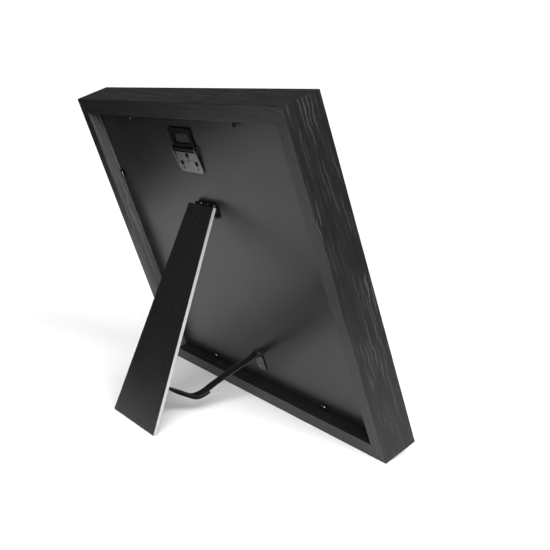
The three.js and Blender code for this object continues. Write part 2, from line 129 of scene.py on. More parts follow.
class PhotoFrameSizes(bpy.types.PropertyGroup):
    wood_edge: length("Wood edge", "Radius of the rails' long edges", 0.35)
    mitre_edge: length("Mitre edge", "Radius along each mitre", 0.12)
    steel_edge: length("Steel edge", "Radius of the sheet steel's edges", 0.12)
    board_edge: length("Board edge", "Radius of the boards' edges", 0.2)
    paper: length("Paper", "Thickness of the black paper on the leg", 0.15)
    ribbon: length("Ribbon thickness", "Thickness of the woven ribbon", 0.5)
    tail: length("Ribbon tail", "Length turned back from the leg's bar", 58)
    mat_bevel: length("Mat bevel", "Width of the mat's bevelled window edge", 1.3)


class PhotoFrameFinishes(bpy.types.PropertyGroup):
    wood: colour("Wood paint", "Black stain on the rails", (0.0060, 0.0059, 0.0062))
    grain: colour("Wood grain", "Lighter grain that shows through the stain", (0.036, 0.0352, 0.0345))
    # Painted light: lightens the side rails' rebate walls where the key light falls on them; the bottom
    # rail's wall stays dark.
    thin: colour("Thin stain", "Thinly stained walls of the rebate", (0.074, 0.073, 0.072))
    board: colour("Backing board", "Black paper of the backing board", (0.0070, 0.0070, 0.0073))
    leg: colour("Leg face", "Black paper of the leg", (0.0078, 0.0078, 0.0082))
    core: colour("Leg edge", "Raw fibreboard at the edges of the leg", (0.242, 0.239, 0.234))
    # Also darkens the hanger's eyelets, as painted shade in their holes.
    black: colour("Black steel", "Hinge leaves, hanging ring and black rivets", (0.0035, 0.0035, 0.0038))
    grey: colour("Grey steel", "Hanger plate, ribbon plates, nails, points and hinge pin", (0.11, 0.11, 0.11))
    ribbon: colour("Ribbon", "Woven black ribbon", (0.0045, 0.0045, 0.005))
    mat: colour("Mat", "Card round the picture", (0.80, 0.78, 0.73))


class PhotoFrameStage(bpy.types.PropertyGroup):
    floor: colour("Floor", "Colour of the floor", (0.93, 0.93, 0.93))
    key: FloatProperty(name="Key light", description="Power of the key light", default=290, min=0)
    top: FloatProperty(name="Top light", description="Power of the light overhead", default=6, min=0)
    front: FloatProperty(name="Front light", description="Power of the light in front", default=48, min=0)
    sky: FloatProperty(name="Surround", description="Strength of the light from above", default=0.16, min=0)
    lens: FloatProperty(name="Lens", description="Focal length", default=56.76, subtype="DISTANCE_CAMERA")


def sizes():
    return bpy.context.scene.photo_frame_sizes


def finishes():
    return bpy.context.scene.photo_frame_finishes


# ---- shells: closed shapes, drawn from the origin of their own group ----


def hard_edges(bm):
    return [e for e in bm.edges if e.is_manifold and e.calc_face_angle(0) > HARD_EDGE]


def soften(bm, radius, segments=2, edges=None):
    """Rounds a shell's hard edges."""
    bmesh.ops.recalc_face_normals(bm, faces=bm.faces)
    chosen = hard_edges(bm) if edges is None else edges
    if radius > 0 and chosen:
        bmesh.ops.bevel(
            bm, geom=chosen, offset=radius, offset_type="OFFSET", segments=segments,
            profile=0.5, affect="EDGES", material=-1, clamp_overlap=True,
        )
    return bm


def push(bm, faces, vector):
    """Extrudes faces and moves the new ones."""
    made = bmesh.ops.extrude_face_region(bm, geom=faces)["geom"]
    verts = [g for g in made if isinstance(g, bmesh.types.BMVert)]
    bmesh.ops.translate(bm, verts=verts, vec=vector)
    return [g for g in made if isinstance(g, bmesh.types.BMFace)]


def outline(points, rounded=(), radius=0.0, y=0.0):
    """One flat face drawn in X and Z."""
    bm = bmesh.new()
    verts = [bm.verts.new((x, y, z)) for x, z in points]
    bm.faces.new(verts)
    if rounded:
        bmesh.ops.bevel(
            bm, geom=[verts[i] for i in rounded], offset=radius, offset_type="OFFSET", segments=6,
            profile=0.5, affect="VERTICES", material=-1,
        )
    return bm


def sheet(points, thickness, foot, rounded=(), radius=0.0, edge=None):
    """A flat sheet from its foot towards +Y."""
    bm = outline(points, rounded, radius, foot)
    push(bm, bm.faces[:], (0, thickness, 0))
    return soften(bm, sizes().steel_edge if edge is None else edge)


def oblong(left, bottom, right, top):
    return [(left, bottom), (right, bottom), (right, top), (left, top)]


def window_sheet(outer, inner, thickness, foot, edge):
    """A flat sheet with a window."""
    bm = bmesh.new()
    for points in (outer, inner):
        verts = [bm.verts.new((x, foot, z)) for x, z in points]
        for a, b in zip(verts, verts[1:] + verts[:1]):
            bm.edges.new((a, b))
    bmesh.ops.bridge_loops(bm, edges=bm.edges[:])
    push(bm, bm.faces[:], (0, thickness, 0))
    return soften(bm, edge, segments=3)


def block(size, centre, edge=None):
    bm = bmesh.new()
    matrix = Matrix.Translation(centre) @ Matrix.Diagonal((*size, 1))
    bmesh.ops.create_cube(bm, size=1, matrix=matrix)
    return soften(bm, sizes().steel_edge if edge is None else edge)


def rod(radius, span, centre, edge=None):
    """A round bar along X."""
    bm = bmesh.new()
    matrix = Matrix.Translation(centre) @ Matrix.Rotation(math.pi / 2, 4, "Y")
    bmesh.ops.create_cone(
        bm, cap_ends=True, segments=24, radius1=radius, radius2=radius, depth=span, matrix=matrix
    )
    return soften(bm, sizes().steel_edge if edge is None else edge)


def turned(profile, axis, closed=False):
    """A profile of radius and height, spun about the Y or X axis."""
    bm = bmesh.new()
    verts = [bm.verts.new((r, 0, h)) for r, h in profile]
    pairs = list(zip(verts, verts[1:] + verts[:1])) if closed else list(zip(verts, verts[1:]))
    edges = [bm.edges.new(pair) for pair in pairs]
    bmesh.ops.spin(
        bm, geom=verts + edges, cent=(0, 0, 0), axis=(0, 0, 1), angle=2 * math.pi, steps=28,
        use_merge=True,
    )
    bmesh.ops.remove_doubles(bm, verts=bm.verts, dist=1e-7)
    lay = Matrix.Rotation(-math.pi / 2, 4, "X") if axis == "Y" else Matrix.Rotation(math.pi / 2, 4, "Y")
    bmesh.ops.transform(bm, matrix=lay, verts=bm.verts)
    bmesh.ops.recalc_face_normals(bm, faces=bm.faces)
    return bm


def tube(bore, radius, span, centre):
    """A hollow knuckle along X with eased rims."""
    ease = 0.15 * MM
    half = span / 2
    profile = [
        (bore, -half), (radius - ease, -half), (radius, ease - half), (radius, half - ease),
        (radius - ease, half), (bore, half),
    ]
    bm = turned(profile, "X", closed=True)
    for face in bm.faces:
        face.material_index = 1 if abs(face.normal.x) > 0.3 else 0
    bmesh.ops.translate(bm, verts=bm.verts, vec=centre)
    return bm


def rivet(head_foot, shank_end, bore=0.0):
    """A domed rivet head and its shank, standing along +Y at the origin."""
    head, shank, rise = 2.2 * MM, 1.1 * MM, 0.5 * MM
    rim = head_foot + 0.14 * MM
    crown = [(head * math.cos(a), rim + (rise - 0.14 * MM) * math.sin(a)) for a in (0, 0.35, 0.7, 1.05)]
    profile = [(bore, shank_end), (shank, shank_end), (shank, head_foot), (head - 0.1 * MM, head_foot)]
    profile += crown
    if bore:
        profile += [(bore + 0.25 * MM, head_foot + rise * 0.92), (bore, head_foot + rise * 0.6)]
        return turned(profile, "Y", closed=True)
    return turned(profile + [(0, head_foot + rise)], "Y")


def moved(bm, matrix):
    bmesh.ops.transform(bm, matrix=matrix, verts=bm.verts)
    return bm


def at(x=0.0, y=0.0, z=0.0):
    return Matrix.Translation((x, y, z))


def joined(shells):
    """One bmesh from several closed shells."""
    whole = bmesh.new()
    for bm in shells:
        part = bpy.data.meshes.new("part")
        bm.to_mesh(part)
        bm.free()
        whole.from_mesh(part)
        bpy.data.meshes.remove(part)
    return whole


def finished(name, bm, place, materials):
    """Puts a shell in its place and makes it an object at the origin."""
    bmesh.ops.transform(bm, matrix=place, verts=bm.verts)
    mesh = bpy.data.meshes.new(name)
    bm.to_mesh(mesh)
    bm.free()
    for material in materials:
        mesh.materials.append(material)
    mesh.shade_smooth()
    mesh.set_sharp_from_angle(angle=SMOOTH_UP_TO)
    piece = bpy.data.objects.new(name, mesh)
    bpy.context.scene.collection.objects.link(piece)
    return piece


def bake(piece):
    """Applies the piece's modifiers."""
    graph = bpy.context.evaluated_depsgraph_get()
    mesh = bpy.data.meshes.new_from_object(piece.evaluated_get(graph), depsgraph=graph)
    piece.modifiers.clear()
    old, name = piece.data, piece.data.name
    piece.data = mesh
    bpy.data.meshes.remove(old)
    mesh.name = name


def volume(mesh):
    bm = bmesh.new()
    bm.from_mesh(mesh)
    amount = bm.calc_volume()
    bm.free()
    return amount


def cut_away(piece, shells):
    """Cuts shells out of a piece, which is one shell itself."""
    cutter = finished("cutter", joined(shells), IN_PLACE, [])
    whole, most = volume(piece.data), volume(cutter.data)
    tool = piece.modifiers.new("cut", "BOOLEAN")
    tool.operation = "DIFFERENCE"
    tool.solver = "EXACT"
    tool.object = cutter
    bake(piece)
    bpy.data.meshes.remove(cutter.data)
    left = volume(piece.data)
    if not whole - 1.01 * most < left < whole:
        raise RuntimeError(f"{piece.name}: the cut left {left * 1e9:.1f} of {whole * 1e9:.1f} cubic mm")


def even(piece):
    """Weights the shading normals by area, so that flat faces stay flat beside their rounded edges."""
    piece.data.shade_smooth()
    piece.data.set_sharp_from_angle(angle=SMOOTH_UP_TO)
    weigh = piece.modifiers.new("weigh", "WEIGHTED_NORMAL")
    weigh.keep_sharp = True
    bake(piece)


def set_rivet(node, head, spot, body, metal):
    settle(finished(node + "_head", head, spot, [finish(metal)]), body, node)


def settle(piece, body, node):
    """The piece moves with its body and stands for its CAD node."""
    even(piece)
    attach(piece, body)
    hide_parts(node)
    return piece


# ---- finishes ----


class Finish:
    """A material and a short way to add nodes to it."""

    def __init__(self, name, metallic=0.0, specular=0.5):
        self.material = bpy.data.materials.new(name)
        self.material.use_nodes = True
        self.tree = self.material.node_tree
        self.shader = self.tree.nodes["Principled BSDF"]
        self.shader.inputs["Metallic"].default_value = metallic
        self.shader.inputs["Specular IOR Level"].default_value = specular

    def add(self, kind, inputs=None, output=0, **settings):
        node = self.tree.nodes.new(kind)
        for key, value in settings.items():
            setattr(node, key, value)
        for key, value in (inputs or {}).items():
            self.put(node, key, value)
        return node.outputs[output]

    def put(self, node, key, value):
        if isinstance(value, bpy.types.NodeSocket):
            self.tree.links.new(value, node.inputs[key])
        else:
            node.inputs[key].default_value = value

    def place(self, source="Object", scale=(1, 1, 1)):
        """Coordinates in metres, stretched."""
        if source == "Object":
            start = self.add("ShaderNodeTexCoord", output="Object")
        else:
            start = self.add("ShaderNodeUVMap", uv_map=source)
        return self.add("ShaderNodeMapping", {"Vector": start, "Scale": scale})

    def noise(self, vector, scale, detail=3.0, rough=0.5):
        inputs = {"Vector": vector, "Scale": scale, "Detail": detail, "Roughness": rough}
        return self.add("ShaderNodeTexNoise", inputs, output="Fac")

    def between(self, value, low, high, to_low=0.0, to_high=1.0):
        inputs = {
            "Value": value, "From Min": low, "From Max": high, "To Min": to_low, "To Max": to_high,
        }
        return self.add("ShaderNodeMapRange", inputs, interpolation_type="SMOOTHSTEP")

    def plus(self, a, b):
        return self.add("ShaderNodeMath", {0: a, 1: b}, operation="ADD")

    def times(self, a, b):
        return self.add("ShaderNodeMath", {0: a, 1: b}, operation="MULTIPLY")

    def minus(self, a, b):
        return self.add("ShaderNodeMath", {0: a, 1: b}, operation="SUBTRACT")

    def wave(self, a):
        return self.add("ShaderNodeMath", {0: a}, operation="SINE")

    def unsigned(self, a):
        return self.add("ShaderNodeMath", {0: a}, operation="ABSOLUTE")

    def split(self, vector):
        """The parts of a vector."""
        node = self.tree.nodes.new("ShaderNodeSeparateXYZ")
        self.put(node, 0, vector)
        return node.outputs

    def stretched(self, vector, along, across):
        return self.add("ShaderNodeMapping", {"Vector": vector, "Scale": (along, across, 1)})

    def face_value(self, name):
        return self.add(
            "ShaderNodeAttribute", output="Fac", attribute_name=name, attribute_type="GEOMETRY"
        )

    def mix(self, factor, a, b):
        """Two colours mixed."""
        node = self.tree.nodes.new("ShaderNodeMix")
        node.data_type = "RGBA"
        for socket, value in ((0, factor), (6, a), (7, b)):
            self.put(node, socket, value)
        return node.outputs[2]

    def colour(self, socket):
        self.put(self.shader, "Base Color", socket)

    def roughness(self, socket):
        self.put(self.shader, "Roughness", socket)

    def bump(self, height, strength, distance):
        inputs = {"Height": height, "Strength": strength, "Distance": distance}
        self.put(self.shader, "Normal", self.add("ShaderNodeBump", inputs))


def tone(values, times=1.0):
    return (*[min(1.0, v * times) for v in values], 1.0)


RING_RATE = 1750
HILL_TURNS = 22.0
RIB_PITCH = 0.85 * MM
WARP_PITCH = 0.42 * MM
# Where the painted highlight lies along each edge of the ribbon, measured from its middle.
EDGE_HIGHLIGHT = (3.7 * MM, 4.3 * MM)
MADE = {}


def finish(name):
    """Each material is made once."""
    if name not in MADE:
        MADE[name] = FINISHES[name]()
    return MADE[name]


def stained_wood():
    """Broken grain lines under a thinly applied black stain, with painted light on the rebate walls of the
    side rails.
    """
    f = Finish("stained_wood", specular=0.26)
    grain_uv = f.place("grain")
    drift = f.noise(f.stretched(grain_uv, 55, 110), 1, 3, 0.55)
    drift = f.between(drift, 0, 1, -0.0022, 0.0022)
    shift = f.add("ShaderNodeCombineXYZ", {"Y": drift})
    wavy = f.add("ShaderNodeVectorMath", {0: grain_uv, 1: shift}, operation="ADD")
    across = f.split(wavy)[1]
    hills = f.noise(f.stretched(wavy, 9, 70), 1, 2)
    fine = f.noise(f.stretched(wavy, 150, 1500), 1, 3, 0.6)
    patch = f.noise(f.stretched(grain_uv, 28, 230), 1, 2)
    zone = f.noise(f.stretched(grain_uv, 8, 40), 1, 2)
    rings = f.plus(f.times(across, RING_RATE), f.times(hills, HILL_TURNS))
    rings = f.plus(rings, f.times(fine, 1.2))
    lines = f.between(f.wave(rings), 0.3, 0.9)
    amount = f.times(lines, f.between(patch, 0.42, 0.56, 0.06, 1.0))
    amount = f.times(amount, f.between(zone, 0.36, 0.6, 0.15, 1.0))
    amount = f.times(amount, f.face_value("show"))
    height = f.split(f.place())[2]
    amount = f.times(amount, f.between(height, 0.02, 0.13, 0.3, 1.0))
    base = f.mix(f.between(patch, 0.3, 0.7), tone(finishes().wood), tone(finishes().wood, 1.5))
    body = f.mix(amount, base, tone(finishes().grain))
    # Painted light on the visible rebate walls of the side rails.
    wall_light_mask = f.times(f.face_value("thin"), f.between(lines, 0.3, 0.7, 0.6, 1.0))
    f.colour(f.mix(wall_light_mask, body, tone(finishes().thin)))
    f.roughness(f.between(fine, 0.3, 0.7, 0.36, 0.5))
    f.bump(f.plus(f.times(lines, 0.6), fine), 0.25, 0.00015)
    return f.material


def papered(name, base, roughness, specular):
    """Black paper on board: faint fibres and slow patches."""

    def build():
        f = Finish(name, specular=specular)
        spot = f.place()
        fibre = f.noise(spot, 2600, 3, 0.6)
        cloud = f.noise(spot, 28, 3, 0.55)
        streak = f.noise(f.place(scale=(90, 1400, 1400)), 1, 2)
        mixed = f.plus(f.times(fibre, 0.45), f.times(cloud, 0.4))
        mixed = f.plus(mixed, f.times(streak, 0.15))
        paint = getattr(finishes(), base)
        f.colour(f.mix(f.between(mixed, 0.3, 0.7), tone(paint, 0.9), tone(paint, 1.12)))
        f.roughness(f.between(cloud, 0.3, 0.7, roughness - 0.01, roughness + 0.02))
        f.bump(fibre, 0.12, 0.0001)
        return f.material

    return build


def raw_fibreboard():
    f = Finish("raw_fibreboard", specular=0.3)
    spot = f.place()
    fibre = f.noise(spot, 1900, 4, 0.7)
    layer = f.noise(f.place(scale=(120, 1500, 60)), 1, 3)
    paint = finishes().core
    body = f.mix(f.between(layer, 0.3, 0.7), tone(paint, 0.75), tone(paint, 1.1))
    f.colour(f.mix(f.between(fibre, 0.3, 0.72), body, tone((0.34, 0.33, 0.315))))
    f.roughness(f.between(fibre, 0.3, 0.7, 0.82, 0.95))
    f.bump(fibre, 0.5, 0.0002)
    return f.material


def black_steel():
    f = Finish("black_steel", specular=0.03)
    spot = f.place()
    grit = f.noise(spot, 1500, 3, 0.6)
    rub = f.noise(spot, 160, 4, 0.7)
    paint = finishes().black
    f.colour(f.mix(f.between(rub, 0.6, 0.75), tone(paint), tone(paint, 2.4)))
    f.roughness(f.between(rub, 0.35, 0.7, 0.38, 0.52))
    f.bump(grit, 0.15, 0.00008)
    return f.material


def plated_steel(name, times, low, high):
    """Bright plating with a soft spangle and drawn lines."""

    def build():
        f = Finish(name, metallic=1.0)
        spot = f.place()
        spangle = f.noise(spot, 420, 2, 0.5)
        drawn = f.noise(f.place(scale=(180, 2600, 2600)), 1, 3)
        dull = f.noise(spot, 90, 3, 0.6)
        paint = finishes().grey
        shade = f.plus(f.times(spangle, 0.6), f.times(dull, 0.4))
        f.colour(f.mix(f.between(shade, 0.35, 0.65), tone(paint, times * 0.78), tone(paint, times)))
        f.roughness(f.between(drawn, 0.3, 0.7, low, high))
        f.bump(drawn, 0.12, 0.00006)
        return f.material

    return build


def clear_glass():
    f = Finish("clear_glass")
    f.shader.inputs["Transmission Weight"].default_value = 1.0
    f.shader.inputs["IOR"].default_value = 1.5
    spot = f.place()
    dust = f.noise(spot, 900, 3, 0.7)
    f.colour(f.mix(f.between(dust, 0.3, 0.8), tone((0.93, 0.965, 0.95)), tone((0.88, 0.93, 0.91))))
    f.roughness(f.between(f.noise(spot, 35, 3), 0.35, 0.75, 0.01, 0.045))
    return f.material


def mat_card():
    f = Finish("mat_card", specular=0.25)
    spot = f.place()
    tooth = f.noise(spot, 2200, 3, 0.6)
    cloud = f.noise(spot, 30, 2)
    paint = finishes().mat
    mixed = f.plus(f.times(tooth, 0.6), f.times(cloud, 0.4))
    f.colour(f.mix(f.between(mixed, 0.35, 0.65), tone(paint, 0.94), tone(paint, 1.04)))
    f.roughness(f.between(tooth, 0.3, 0.7, 0.8, 0.95))
    f.bump(tooth, 0.35, 0.0001)
    return f.material


def card_core():
    f = Finish("card_core", specular=0.2)
    tooth = f.noise(f.place(), 3000, 3, 0.6)
    f.colour(f.mix(f.between(tooth, 0.3, 0.7), tone((0.86, 0.85, 0.82)), tone((0.95, 0.94, 0.92))))
    f.roughness(f.between(tooth, 0.3, 0.7, 0.85, 0.95))
    return f.material


def hills_print():
    """A plain made-up picture: soft bands of hills under a pale sky."""
    f = Finish("hills_print", specular=0.4)
    uv = f.add("ShaderNodeUVMap", uv_map="sheet")
    across, up, _ = f.split(uv)
    picture = f.mix(f.between(up, 0.1, 0.26), tone((0.62, 0.60, 0.54)), tone((0.42, 0.52, 0.62)))
    bands = [
        (0.165, 0.045, 9, (0.30, 0.36, 0.40)),
        (0.125, 0.035, 14, (0.17, 0.24, 0.24)),
        (0.080, 0.030, 22, (0.085, 0.13, 0.11)),
    ]
    for place, rise, scale, shade in bands:
        line = f.add("ShaderNodeCombineXYZ", {"X": across, "Y": place * 37})
        crest = f.between(f.noise(line, scale, 4, 0.5), 0.25, 0.75, place - rise, place + rise)
        below = f.between(f.minus(crest, up), -0.0006, 0.0006)
        picture = f.mix(below, picture, tone(shade))
    speck = f.noise(uv, 3500, 2)
    f.colour(f.mix(f.between(speck, 0.2, 0.8, 0.0, 0.12), picture, tone((0.75, 0.74, 0.70))))
    f.roughness(f.between(speck, 0.3, 0.7, 0.42, 0.55))
    return f.material


def woven_ribbon():
    """Cross ribs, a smooth selvedge down each side, and a painted highlight along each selvedge."""
    f = Finish("woven_ribbon", specular=0.03)
    uv = f.add("ShaderNodeUVMap", uv_map="weave")
    across, along, _ = f.split(uv)
    rib = f.wave(f.times(along, 2 * math.pi / RIB_PITCH))
    warp = f.wave(f.times(across, 2 * math.pi / WARP_PITCH))
    edge = f.between(f.unsigned(across), *EDGE_HIGHLIGHT)
    lint = f.noise(uv, 1800, 3, 0.6)
    paint = finishes().ribbon
    weave = f.between(f.plus(rib, f.times(warp, 0.5)), -1.2, 1.2)
    body = f.mix(weave, tone(paint, 0.6), tone(paint, 2.2))
    body = f.mix(f.between(lint, 0.45, 0.8, 0.0, 0.5), body, tone(paint, 4.0))
    # Painted highlight along both edges of the ribbon.
    f.colour(f.mix(edge, body, tone(paint, 8.0)))
    f.roughness(f.between(rib, -1, 1, 0.62, 0.48))
    f.bump(f.plus(rib, f.times(warp, 0.4)), 0.35, 0.00008)
    return f.material


def pale_floor():
    f = Finish("pale_floor", specular=0.3)
    spot = f.place()
    cloud = f.noise(spot, 3, 3)
    paint = bpy.context.scene.photo_frame_stage.floor
    f.colour(f.mix(f.between(cloud, 0.3, 0.7), tone(paint, 0.99), tone(paint)))
    f.roughness(f.between(cloud, 0.3, 0.7, 0.6, 0.7))
    return f.material


FINISHES = {
    "stained_wood": stained_wood,
    "board_paper": papered("board_paper", "board", 0.31, 0.27),
    "leg_paper": papered("leg_paper", "leg", 0.27, 0.21),
    "raw_fibreboard": raw_fibreboard,
    "black_steel": black_steel,
    "plated_steel": plated_steel("plated_steel", 1.65, 0.26, 0.38),
    "nail_steel": plated_steel("nail_steel", 1.2, 0.35, 0.5),
    "dull_steel": plated_steel("dull_steel", 1.0, 0.26, 0.38),
    "spring_steel": plated_steel("spring_steel", 3.2, 0.16, 0.28),
    "clear_glass": clear_glass,
    "mat_card": mat_card,
    "card_core": card_core,
    "hills_print": hills_print,
    "woven_ribbon": woven_ribbon,
    "pale_floor": pale_floor,
}

# ---- the stage ----


CAMERA_PLACE = (-0.61168, 0.38271, 0.25029)
CAMERA_RIGHT = Vector((-0.5730, -0.8177, 0.0555))
CAMERA_BACK = Vector((-0.8003, 0.5728, 0.1772))
FLOOR_R = 0.5
BACKDROP = 1.1


class PHOTO_FRAME_OT_stage(bpy.types.Operator):
    """Set the camera, the soft studio light and the pale floor"""

    bl_idname = "photo_frame.stage"
    bl_label = "Stage"

    def execute(self, context):
        stage = context.scene.photo_frame_stage
        camera = bpy.data.objects.new("camera", bpy.data.cameras.new("camera"))
        camera.data.lens = stage.lens
        camera.data.sensor_width = 36
        camera.data.clip_start = 0.01
        axes = (CAMERA_RIGHT, CAMERA_BACK.cross(CAMERA_RIGHT), CAMERA_BACK)
        turn = Matrix([axis.normalized() for axis in axes]).transposed().to_4x4()
        camera.matrix_world = Matrix.Translation(CAMERA_PLACE) @ turn
        context.scene.collection.objects.link(camera)
        context.scene.camera = camera
        context.scene.view_settings.view_transform = "Standard"

        bm = bmesh.new()
        bmesh.ops.create_circle(bm, cap_ends=True, segments=96, radius=FLOOR_R)
        floor = finished("floor", bm, IN_PLACE, [finish("pale_floor")])

        self.light(context, "key", (-2.35, 1.15, 1.75), (0, 0, 0.05), (3.4, 2.4), stage.key)
        self.light(context, "top", (0, -0.6, 3.2), (0, 0, 0.05), (2.2, 2.2), stage.top)
        self.light(context, "front", (0.9, -2.5, 0.45), (0, 0, 0.1), (2.0, 0.9), stage.front)

        world = bpy.data.worlds.new("surround")
        world.use_nodes = True
        nodes, links = world.node_tree.nodes, world.node_tree.links
        glow = nodes["Background"]
        split = nodes.new("ShaderNodeSeparateXYZ")
        links.new(nodes.new("ShaderNodeTexCoord").outputs["Generated"], split.inputs[0])
        dome = nodes.new("ShaderNodeMapRange")
        dome.interpolation_type = "SMOOTHSTEP"
        links.new(split.outputs["Z"], dome.inputs["Value"])
        for key, value in {"From Min": 0.0, "From Max": 0.9, "To Min": 0.03, "To Max": stage.sky}.items():
            dome.inputs[key].default_value = value
        seen = nodes.new("ShaderNodeLightPath").outputs["Is Camera Ray"]
        level = nodes.new("ShaderNodeMix")
        level.inputs[3].default_value = BACKDROP
        links.new(seen, level.inputs[0])
        links.new(dome.outputs[0], level.inputs[2])
        glow.inputs["Color"].default_value = (1, 1, 1, 1)
        links.new(level.outputs[0], glow.inputs["Strength"])
        context.scene.world = world
        return {"FINISHED"}

    def light(self, context, name, place, target, size, power):
        lamp = bpy.data.lights.new(name, "AREA")
        lamp.shape = "RECTANGLE"
        lamp.size, lamp.size_y = size
        lamp.energy = power
        lamp_object = bpy.data.objects.new(name, lamp)
        lamp_object.location = place
        aim = Vector(place) - Vector(target)
        lamp_object.rotation_euler = aim.to_track_quat("Z", "Y").to_euler()
        context.scene.collection.objects.link(lamp_object)


# ---- the ribbon stay ----

# The middle of the ribbon from the bar on the board to the bar on the leg, from the frame's rear bottom
# edge, in millimetres of Y and Z.
RIBBON_ROUTE = [
    (12.8, 43), (17, 41.1), (22, 38.7), (27.5, 36.1), (33, 33.5), (39.5, 30.4), (46, 27), (51, 24.4),
    (56, 21.6), (61, 18.6), (66.5, 16.3), (72, 15.5), (77, 16.8), (83, 19.5), (89, 22), (95, 24.6),
    (101, 27.6), (106, 30.2), (111, 33),
]
RIBBON_W = 10 * MM
BAR_WRAP = 1.05 * MM
RIBBON_STEP = 1.5 * MM
# The corners of the strip's section, as shares of its width and of its thickness.
RIBBON_SECTION = [
    (-0.5, 0.25), (-0.47, 0.5), (-0.36, 0.38), (0.36, 0.38), (0.47, 0.5), (0.5, 0.25),
    (0.5, -0.25), (0.47, -0.5), (0.36, -0.38), (-0.36, -0.38), (-0.47, -0.5), (-0.5, -0.25),
]


def route_points():
    return [Vector((0, y * MM + STAND_Y, z * MM)) for y, z in RIBBON_ROUTE]


def smooth_line(points, step):
    """Evenly spaced points on a smooth curve through the given ones."""
    dense = []
    ends = [points[0] * 2 - points[1]] + points + [points[-1] * 2 - points[-2]]
    for a, b, c, d in zip(ends, ends[1:], ends[2:], ends[3:]):
        for i in range(8):
            t = i / 8
            dense.append(0.5 * (2 * b + (c - a) * t + (2 * a - 5 * b + 4 * c - d) * t * t
                                + (3 * b - a - 3 * c + d) * t * t * t))
    dense.append(points[-1].copy())
    spaced, left = [dense[0]], 0.0
    for a, b in zip(dense, dense[1:]):
        span = (b - a).length
        while left + span >= step:
            a = a.lerp(b, (step - left) / span)
            span = (b - a).length
            left = 0.0
            spaced.append(a.copy())
        left += span
    return spaced


def arc(centre, radius, start, stop, steps):
    """Points round a bar that lies along X, by the angle from +Y towards +Z."""
    turns = [start + (stop - start) * i / steps for i in range(steps + 1)]
    return [centre + Vector((0, math.cos(a), math.sin(a))) * radius for a in turns]


def band(line, across, width, thickness):
    """A flat strip along a line; across is the direction of its width at each point."""
    bm = bmesh.new()
    weave = bm.loops.layers.uv.new("weave")
    rings, run, runs = [], 0.0, []
    for i, point in enumerate(line):
        ahead = (line[min(i + 1, len(line) - 1)] - line[max(i - 1, 0)]).normalized()
        side = across[i].normalized()
        up = side.cross(ahead).normalized()
        if i:
            run += (point - line[i - 1]).length
        runs.append(run)
        section = [point + side * (u * width) + up * (h * thickness) for u, h in RIBBON_SECTION]
        rings.append([bm.verts.new(corner) for corner in section])
    corners = len(RIBBON_SECTION)
    spread = [u * width for u, _ in RIBBON_SECTION]
    for i in range(len(rings) - 1):
        for k in range(corners):
            j = (k + 1) % corners
            face = bm.faces.new((rings[i][k], rings[i][j], rings[i + 1][j], rings[i + 1][k]))
            for loop, (u, v) in zip(face.loops, ((k, i), (j, i), (j, i + 1), (k, i + 1))):
                loop[weave].uv = (spread[u], runs[v])
    for ring in (rings[0], rings[-1]):
        face = bm.faces.new(ring)
        for loop, u in zip(face.loops, spread):
            loop[weave].uv = (u, 0)
    bmesh.ops.recalc_face_normals(bm, faces=bm.faces)
    return bm


class PHOTO_FRAME_OT_ribbon(bpy.types.Operator):
    """Weave the ribbon stay from the board to the leg, with its tail turned back"""

    bl_idname = "photo_frame.ribbon"
    bl_label = "Ribbon Stay"

    def execute(self, context):
        line = smooth_line(route_points(), RIBBON_STEP)
        board_bar = BOARD_STRAP @ Vector((0, STRAP_BAR_RISE, 0))
        leg_bar = LEG_STRAP @ Vector((0, STRAP_BAR_RISE, 0))
        lower = Vector((0, 0, -1.15 * MM))

        first = (line[1] - line[0]).normalized()
        heading = math.atan2(first.z, first.y)
        start_wrap = arc(board_bar, BAR_WRAP, heading - math.pi / 2, heading - 1.5 * math.pi, 10)
        last = (line[-1] - line[-2]).normalized()
        arriving = math.atan2(last.z, last.y)
        end_wrap = arc(leg_bar, BAR_WRAP, arriving + math.pi / 2, arriving - math.pi / 2, 10)

        folded = [p + lower for p in line[3:9]][::-1]
        tail_count = int(sizes().tail / RIBBON_STEP)
        tail = [p.copy() for p in line[-tail_count:-2]][::-1]
        for i, point in enumerate(tail):
            share = min(1.0, i / 9)
            fall = 0.6 + 0.9 * math.sin(math.pi * i / len(tail)) ** 2
            point += Vector((-1.9 * MM * share, 0, -fall * MM))
        full = folded + start_wrap + line[3:-2] + end_wrap + tail
        across = [Vector((1, 0, 0)) for _ in full]
        tail_start = len(full) - len(tail)
        for i in range(len(full)):
            share = max(0.0, min(1.0, (i - tail_start) / 12))
            across[i] += Vector((0, -0.10, 0.16)) * share
        bm = band(full, across, RIBBON_W, sizes().ribbon)
        ribbon = finished("woven_stay", bm, IN_PLACE, [finish("woven_ribbon")])
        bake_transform(ribbon)
        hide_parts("ribbon")
        return {"FINISHED"}


# ---- the wooden frame ----

# Each rail's node, its length, its quarter turns, the middle of its outer edge and how far its grain shows.
RAILS = [
    ("rail_top", FRAME_W, 0, (0, 0, FRAME_H), 0.5),
    ("rail_right", FRAME_H, 1, (FRAME_W / 2, 0, FRAME_H / 2), 1.0),
    ("rail_bottom", FRAME_W, 2, (0, 0, 0), 0.7),
    ("rail_left", FRAME_H, 3, (-FRAME_W / 2, 0, FRAME_H / 2), 1.0),
]
FAINT = 0.16
NAIL_INSETS = (3.4 * MM, 7.4 * MM)
NAIL_DEEP = 9 * MM
TAB_SLOT = (7.4 * MM, 1.2 * MM, 3 * MM)
CORNERS = [
    ("top_right", 0, 1, 1), ("bottom_right", 1, 1, -1), ("bottom_left", 2, -1, -1), ("top_left", 3, -1, 1),
]


def quarter(turn):
    return Matrix.Rotation(turn * math.pi / 2, 4, "Y")


def nail_outline(grow):
    half, end = 0.3 * MM + grow, 4.5 * MM + grow
    return [(-half, -half), (end, -half), (end, half), (half, half), (half, end), (-half, end)]


def nail_place(corner, inset):
    _, turn, x, z = corner
    spot = at(x * (FRAME_W / 2 - inset), 0, FRAME_H / 2 + z * (FRAME_H / 2 - inset))
    return spot @ quarter(turn + 2)


